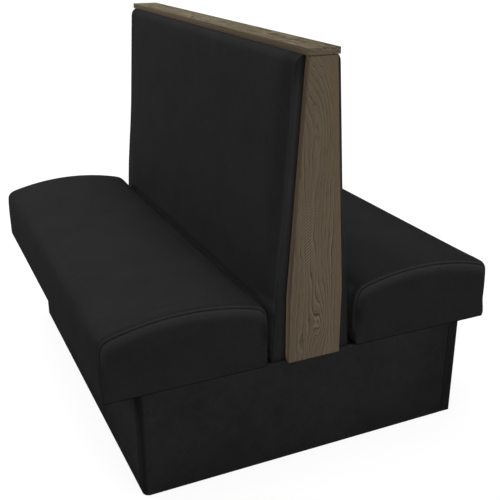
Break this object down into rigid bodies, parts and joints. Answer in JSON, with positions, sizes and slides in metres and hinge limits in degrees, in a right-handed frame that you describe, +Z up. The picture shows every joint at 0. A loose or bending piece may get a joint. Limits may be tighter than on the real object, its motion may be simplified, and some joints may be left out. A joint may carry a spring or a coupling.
{
  "type": "double restaurant booth",
  "caption": "Double restaurant booth: two crowned vinyl seats back to back on a covered base, with a tapered padded back, oak end boards and an oak cap.",
  "frame": {"origin": "on the floor, under the middle of the oak cap and midway between the two seats", "axes": "+Y along the booth from its near, aisle end to its far, wall end; +X across it, towards the right-hand seat as seen from the near end; +Z up"},
  "size_m": [1.106, 1.278, 1.067],
  "materials": {
    "vinyl": "smooth black upholstery vinyl, satin",
    "base_vinyl": "black upholstery vinyl, fine leather grain",
    "oak": "grey-brown limed oak, matt",
    "plywood": "raw birch plywood",
    "painted_plywood": "birch plywood painted matt black",
    "softwood": "planed pine",
    "foam": "open-cell upholstery foam",
    "felt": "pressed fibre pad",
    "dust_cloth": "thin black dust cloth",
    "spring_steel": "bare spring wire",
    "zinc": "zinc-plated fastener",
    "nylon": "moulded nylon"
  },
  "bodies": {
    "root": {"back_blocking": "softwood", "back_bolts": "zinc", "back_bottom_rail": "softwood", "back_cover_left": "vinyl", "back_cover_right": "vinyl", "back_facing_left": "plywood", "back_facing_right": "plywood", "back_foam_left": "foam", "back_foam_right": "foam", "back_rib_1": "plywood", "back_rib_2": "plywood", "back_rib_3": "plywood", "back_rib_4": "plywood", "back_top_rail": "softwood", "base_blocks": "softwood", "base_deck": "painted_plywood", "base_rib_1": "plywood", "base_rib_2": "plywood", "base_rib_3": "plywood", "cap_screws": "zinc", "deck_screws": "zinc", "end_board_far": "oak", "end_board_near": "oak", "end_board_screws": "zinc", "end_cover_far": "base_vinyl", "end_cover_near": "base_vinyl", "end_panel_far": "plywood", "end_panel_near": "plywood", "floor_glides": "nylon", "kick_cover_left": "base_vinyl", "kick_cover_right": "base_vinyl", "kick_panel_left": "plywood", "kick_panel_right": "plywood", "pad_screws": "zinc", "seat_cover_left": "vinyl", "seat_cover_right": "vinyl", "seat_cross_rails_left": "softwood", "seat_cross_rails_right": "softwood", "seat_dust_cover_left": "dust_cloth", "seat_dust_cover_right": "dust_cloth", "seat_edge_padding_left": "foam", "seat_edge_padding_right": "foam", "seat_end_caps_left": "vinyl", "seat_end_caps_right": "vinyl", "seat_felt_left": "felt", "seat_felt_right": "felt", "seat_foam_left": "foam", "seat_foam_right": "foam", "seat_front_rail_left": "softwood", "seat_front_rail_right": "softwood", "seat_rear_rail_left": "softwood", "seat_rear_rail_right": "softwood", "seat_screws_left": "zinc", "seat_screws_right": "zinc", "seat_springs_left": "spring_steel", "seat_springs_right": "spring_steel", "spring_clips_left": "zinc", "spring_clips_right": "zinc", "top_cap": "oak"}
  },
  "joints": []
}
